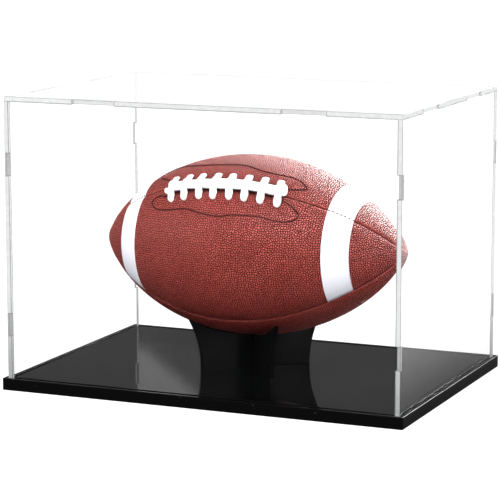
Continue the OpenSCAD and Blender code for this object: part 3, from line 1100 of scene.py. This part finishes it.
def lace_bar_shape():
    """One cross bar, flat at the origin: it arches over the strands and dives at both ends."""
    t = np.linspace(0, 1, 25)
    along = (t - 0.5) * 2 * BAR_HALF_L
    drop = along ** 2 / (2 * BALL.radius)
    share = np.abs(t - 0.5) * 2
    hump = STRAND_H * 0.75 * (1 - smooth_step((share - 0.3) / 0.35))
    dive = 3.2 * MM * smooth_step((share - 0.82) / 0.18)
    centres = np.stack([np.zeros_like(t), along, BAR_H * 0.45 + hump - drop - dive], axis=1)
    ends = round_ends(t, 0.1)
    swell = 1 + 0.12 * np.exp(-((share - 0.62) / 0.16) ** 2)
    sides = np.tile((1.0, 0.0, 0.0), (len(t), 1))
    slope = np.gradient(centres[:, 2], centres[:, 1])
    ups = np.stack([np.zeros_like(t), -slope, np.ones_like(t)], axis=1)
    ups /= np.linalg.norm(ups, axis=1)[:, None]
    points, faces = sweep(
        centres, sides, ups, BAR_W / 2 * ends * swell, BAR_H / 2 * ends * (0.9 + 0.1 * swell)
    )
    return mesh_from(points, faces, "lace_bar")


def lace_strand_shape(side):
    """One long strand beside the seam, pressed down between the bars."""
    reach = LACE_HALF_L + 0.5 * MM
    t = np.linspace(0, 1, 150)
    x = LACE_MIDDLE + (t - 0.5) * 2 * reach
    angle = LACE_ANGLE + BAND_SHIFT + side * STRAND_ANGLE + 0.25 * np.sin(x / (9 * MM) + side)
    ripple = 0.3 * MM * np.cos((x - bar_places()[0]) / LACE_PITCH * 2 * math.pi)
    ends = round_ends(t, 0.03)
    centres = BALL.point(x, angle, STRAND_H * 0.35 + ripple)
    ups, sides = BALL.directions(x, angle)
    points, faces = sweep(
        centres, sides, ups, STRAND_W / 2 * ends, STRAND_H / 2 * ends, corner=3.0
    )
    return mesh_from(points, faces, "lace_strand")


def lace_end_shape(x, angle, half_l, half_w, height, slant):
    """A doubled-over end of the lace, tucked in beside the last bar."""
    t = np.linspace(0, 1, 13)
    off = (t - 0.5) * 2
    ends = round_ends(t, 0.3)
    angles = angle + np.degrees(off * half_w / BALL.radius)
    places = x + off * slant
    centres = BALL.point(places, angles, np.full_like(t, height))
    ups = BALL.directions(places, angles)[0]
    forward = np.tile(BALL.axis, (len(t), 1))
    points, faces = sweep(centres, forward, ups, half_l * ends, LACE_END_HALF_H * ends)
    return mesh_from(points, faces, "lace_end")


def joined(meshes, name):
    """Several closed meshes as one."""
    shape = bmesh.new()
    for mesh in meshes:
        shape.from_mesh(mesh)
    result = bpy.data.meshes.new(name)
    shape.to_mesh(result)
    shape.free()
    result.shade_smooth()
    return result


def make_lace():
    """The white lace: eight bars over two strands, with the tucked ends."""
    bar = add_object("bar_shape", lace_bar_shape())
    places = bar_places()
    path = path_mesh(places, np.full(LACE_BARS, LACE_ANGLE + BAR_SHIFT), 0.0, closed=False)
    bars = run_tree(
        path, REPEAT_TREE, Shape=bar, Step=LACE_PITCH * 0.995, Turn=BAR_TURN, Wobble=0.05, Seed=4,
        Material=MATERIALS["lace"]
    )
    bpy.data.objects.remove(bar)
    right = LACE_MIDDLE + LACE_HALF_L
    left = LACE_MIDDLE - LACE_HALF_L
    # the tucked ends: place, direction, half length, half width, height and slant
    parts = [
        bars, lace_strand_shape(-1), lace_strand_shape(1),
        lace_end_shape(right - 0.2 * MM, LACE_ANGLE + 2.6, 3.9 * MM, 6.6 * MM, 2.6 * MM, -1.6 * MM),
        lace_end_shape(left + 1.0 * MM, LACE_ANGLE - 1.6, 3.0 * MM, 3.6 * MM, 1.6 * MM, -1.0 * MM),
        lace_end_shape(left + 3.0 * MM, LACE_ANGLE + 4.4, 2.8 * MM, 3.2 * MM, 2.2 * MM, 0.5 * MM),
    ]
    mesh = joined(parts, "white_lace")
    new_piece("white_lace", mesh, "football", ["ball_lace"], ("lace",))


def stitch_shape(length):
    """One stitch: a short strand that bows up between two needle holes."""
    t = np.linspace(0, 1, 6)
    bow = THREAD_R * 0.8 * np.sin(t * math.pi)
    centres = np.stack([(t - 0.5) * length, np.zeros_like(t), bow], axis=1)
    sides = np.tile((0.0, 1.0, 0.0), (len(t), 1))
    ups = np.tile((0.0, 0.0, 1.0), (len(t), 1))
    ends = round_ends(t, 0.25)
    half = THREAD_R * ends
    points, faces = sweep(centres, sides, ups, half, half, corner=2.0, around=6)
    return mesh_from(points, faces, "stitch")


def make_outline_threads():
    """The two stitched outlines beside the laces."""
    stitch = add_object("stitch_shape", stitch_shape(STITCH_L))
    for (x, angle), name in zip(OUTLINES, ("below", "above")):
        path = path_mesh(x, angle, 0.0, closed=True)
        mesh = run_tree(
            path, REPEAT_TREE, Shape=stitch, Step=STITCH_PITCH, Wobble=0.06, Seed=7,
            Material=MATERIALS["thread"]
        )
        mesh.shade_smooth()
        new_piece(f"outline_stitches_{name}", mesh, "football")
    bpy.data.objects.remove(stitch)


def make_stripe_stitches():
    """Dark seam stitches that show where the laced seam crosses the white stripes."""
    stitch = add_object("seam_stitch_shape", stitch_shape(SEAM_STITCH_L))
    for end in ("left", "right"):
        along = BALL.local(node_points(f"ball_stripe_{end}_front"))[0]
        x = np.linspace(along.min() + 0.8 * MM, along.max() - 0.5 * MM, 40)
        path = path_mesh(x, seam_angle(1, x), -SEAM_STITCH_DEPTH, closed=False)
        mesh = run_tree(
            path, REPEAT_TREE, Shape=stitch, Step=SEAM_STITCH_PITCH, Wobble=0.1, Seed=3,
            Material=MATERIALS["thread"]
        )
        mesh.shade_smooth()
        new_piece(f"seam_stitches_{end}", mesh, "football")
    bpy.data.objects.remove(stitch)


def make_valve():
    """The valve's soft rubber mouth in the back panel: a rolled lip round a needle hole."""
    points = node_points("ball_valve")
    middle = points.mean(axis=0)
    normal = BALL.directions(np.array(VALVE_X), np.array(VALVE_ANGLE))[0]
    lengths = (points - middle) @ normal
    radius = np.sqrt(((points - middle) ** 2).sum(axis=1) - lengths ** 2).max()
    top, bottom = lengths.max(), lengths.min()
    lip = 0.45 * MM
    profile = [
        (0.0, bottom), (radius, bottom), (radius, top - 2 * lip), (radius - 0.2 * lip, top - 0.6 * lip),
        (radius - lip, top), (radius - 2 * lip, top - 0.5 * lip), (radius - 3.2 * lip, top - 1.2 * lip),
        (1.1 * MM, top - 1.1 * lip), (0.7 * MM, top - 1.5 * lip), (0.55 * MM, top - 4 * MM),
        (0.0, top - 4 * MM),
    ]
    side = np.cross(normal, BALL.axis)
    side /= np.linalg.norm(side)
    ahead = np.cross(side, normal)
    around = 40
    turn = np.linspace(0, 2 * math.pi, around, endpoint=False)
    rings = [
        middle + r * (np.cos(turn)[:, None] * ahead + np.sin(turn)[:, None] * side) + h * normal
        for r, h in profile
    ]
    mesh = mesh_from(np.vstack(rings), ring_faces(len(profile), around), "rubber_valve")
    mesh.set_sharp_from_angle(angle=math.radians(50))
    new_piece("rubber_valve", mesh, "football", ["ball_valve"], ("valve",))


def finish_hidden_layers():
    """Materials for the CAD nodes that stay as they are: linings, patches and bladder."""
    finishes = {"ball_bladder": "bladder"}
    finishes.update({f"ball_lining_{side}": "lining" for side in PANELS})
    finishes.update({f"ball_lace_patch_{side}": "patch" for side in ("front", "top")})
    for node, key in finishes.items():
        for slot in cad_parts[node].material_slots:
            slot.material = MATERIALS[key]


# ---------- Stage, light and camera ----------

def by_last_bounce(tree, straight, in_gloss, as_light):
    """A value for rays that come straight or through clear sheets, off gloss, and off dull surfaces."""
    path = tree.nodes.new("ShaderNodeLightPath")
    dull = calc(tree, "GREATER_THAN", path.outputs["Diffuse Depth"], 0.5)
    glossy = calc(tree, "GREATER_THAN", path.outputs["Glossy Depth"], 0.5)
    value = straight
    for mask, other in ((glossy, in_gloss), (dull, as_light)):
        value = add_node(tree, "ShaderNodeMix", {0: mask, 2: value, 3: other}).outputs[0]
    return value


def stage_sheet(name, corners):
    """One flat four-cornered sheet of the stage, with an empty material, and its node tree."""
    mesh = bpy.data.meshes.new(name)
    mesh.from_pydata([tuple(corner) for corner in corners], [], [(0, 1, 2, 3)])
    sheet = add_object(name, mesh)
    material = bpy.data.materials.new(f"{name}_paper")
    material.use_nodes = True
    material.node_tree.nodes.clear()
    material.cycles.emission_sampling = "NONE"
    mesh.materials.append(material)
    return sheet, material.node_tree


def end_shader(tree, shader, kind):
    """Leads a shader to the tree's output."""
    tree.links.new(shader.outputs[0], tree.nodes.new(kind).inputs["Surface"])


def make_floor():
    """A wide pale floor: white to the eye, and dimmer in gloss and as a source of light."""
    half = 30.0
    corners = [(-half, -half, 0), (half, -half, 0), (half, half, 0), (-half, half, 0)]
    tree = stage_sheet("floor", corners)[1]
    place = add_node(tree, "ShaderNodeSeparateXYZ", {"Vector": object_coords(tree)})
    right = ramp(tree, place.outputs["X"], 0.17, 0.32, FLOOR_IN_GLOSS, 0.95)
    in_gloss = calc(tree, "MULTIPLY", right, ramp(tree, place.outputs["Y"], -0.4, -0.15, 0.5, 1.0))
    glow = by_last_bounce(tree, STRAIGHT_WHITE, in_gloss, FLOOR_AS_LIGHT)
    light = add_node(tree, "ShaderNodeEmission", {"Color": (1, 1, 1, 1), "Strength": glow})
    paper = add_node(tree, "ShaderNodeBsdfDiffuse", {"Color": (0.1, 0.1, 0.1, 1)})
    both = add_node(tree, "ShaderNodeAddShader", {0: light.outputs[0], 1: paper.outputs[0]})
    end_shader(tree, both, "ShaderNodeOutputMaterial")


def make_world():
    """A white studio with a darker band above the horizon, which black gloss picks up."""
    world = bpy.data.worlds.new("studio")
    bpy.context.scene.world = world
    world.use_nodes = True
    tree = world.node_tree
    tree.nodes.clear()
    direction = tree.nodes.new("ShaderNodeTexCoord").outputs["Generated"]
    height = add_node(tree, "ShaderNodeSeparateXYZ", {"Vector": direction}).outputs["Z"]
    white_end, dark_start, dark_end, light_start = (math.sin(math.radians(step)) for step in SKY_STEPS)
    white = ramp(tree, height, white_end, dark_start, 1.1, 0.0)
    upper = ramp(tree, height, dark_end, light_start, 0.18, 0.5)
    around = calc(tree, "MAXIMUM", white, upper)
    strength = by_last_bounce(tree, STRAIGHT_WHITE, around, around)
    light = add_node(tree, "ShaderNodeBackground", {"Color": (1, 1, 1, 1), "Strength": strength})
    end_shader(tree, light, "ShaderNodeOutputWorld")


def add_softbox(name, place, width, height, power, only_gloss):
    """A softbox aimed at the ball's middle."""
    data = bpy.data.lights.new(name, "AREA")
    data.shape = "RECTANGLE"
    data.size = width
    data.size_y = height
    data.energy = power
    lamp = add_object(name, data)
    lamp.location = place
    aim = Vector(BALL.centre.tolist()) - Vector(place)
    lamp.rotation_euler = aim.to_track_quat("-Z", "Y").to_euler()
    lamp.visible_camera = False
    lamp.visible_diffuse = not only_gloss


def make_card():
    """A white card behind the case that only gloss shows: a slanting light patch on the deck."""
    turn = math.radians(CAMERA_AZIMUTH)
    across = Vector((math.cos(turn), math.sin(turn), 0.0))
    behind = Vector((-math.sin(turn), math.cos(turn), 0.0)) * CARD_DISTANCE
    left, right, low, high = CARD_BOX
    sides = ((left, low), (right, low), (right, high), (left, high))
    corners = [behind + across * side + Vector((0, 0, height)) for side, height in sides]
    card, tree = stage_sheet("card", corners)
    card.visible_camera = False
    card.visible_diffuse = False
    card.visible_shadow = False
    slope = (high - low) / (right - left)
    aside = add_node(
        tree, "ShaderNodeVectorMath", {0: object_coords(tree), 1: across}, operation="DOT_PRODUCT"
    ).outputs["Value"]
    height = add_node(tree, "ShaderNodeSeparateXYZ", {"Vector": object_coords(tree)}).outputs["Z"]
    line = calc(tree, "MULTIPLY_ADD", calc(tree, "SUBTRACT", aside, left), slope, low)
    over = calc(tree, "SUBTRACT", height, line)
    glow = ramp(tree, over, -0.04, 0.025, 0.22, CARD_LIGHT)
    light = add_node(tree, "ShaderNodeEmission", {"Color": (1, 1, 1, 1), "Strength": glow})
    end_shader(tree, light, "ShaderNodeOutputMaterial")


def make_camera():
    """The camera, aimed near the middle of the case."""
    low, high = cad_bounds
    aim = (low + high) / 2 + Vector(AIM_OFFSET)
    turn, rise = math.radians(CAMERA_AZIMUTH), math.radians(CAMERA_ELEVATION)
    back = Vector((math.sin(turn) * math.cos(rise), -math.cos(turn) * math.cos(rise), math.sin(rise)))
    data = bpy.data.cameras.new("camera")
    data.lens = CAMERA_LENS
    data.clip_start = 0.05
    data.clip_end = 200
    camera = add_object("camera", data)
    camera.location = aim + back * CAMERA_DISTANCE
    camera.rotation_euler = (-back).to_track_quat("-Z", "Y").to_euler()
    bpy.context.scene.camera = camera


# ---------- The whole scene ----------

bpy.context.scene.view_settings.view_transform = "Standard"
make_camera()
make_floor()
make_world()
for softbox in SOFTBOXES:
    add_softbox(*softbox)
make_card()
make_base()
make_cover()
make_leather()
make_stripes()
make_lace()
make_outline_threads()
make_stripe_stitches()
make_valve()
finish_hidden_layers()
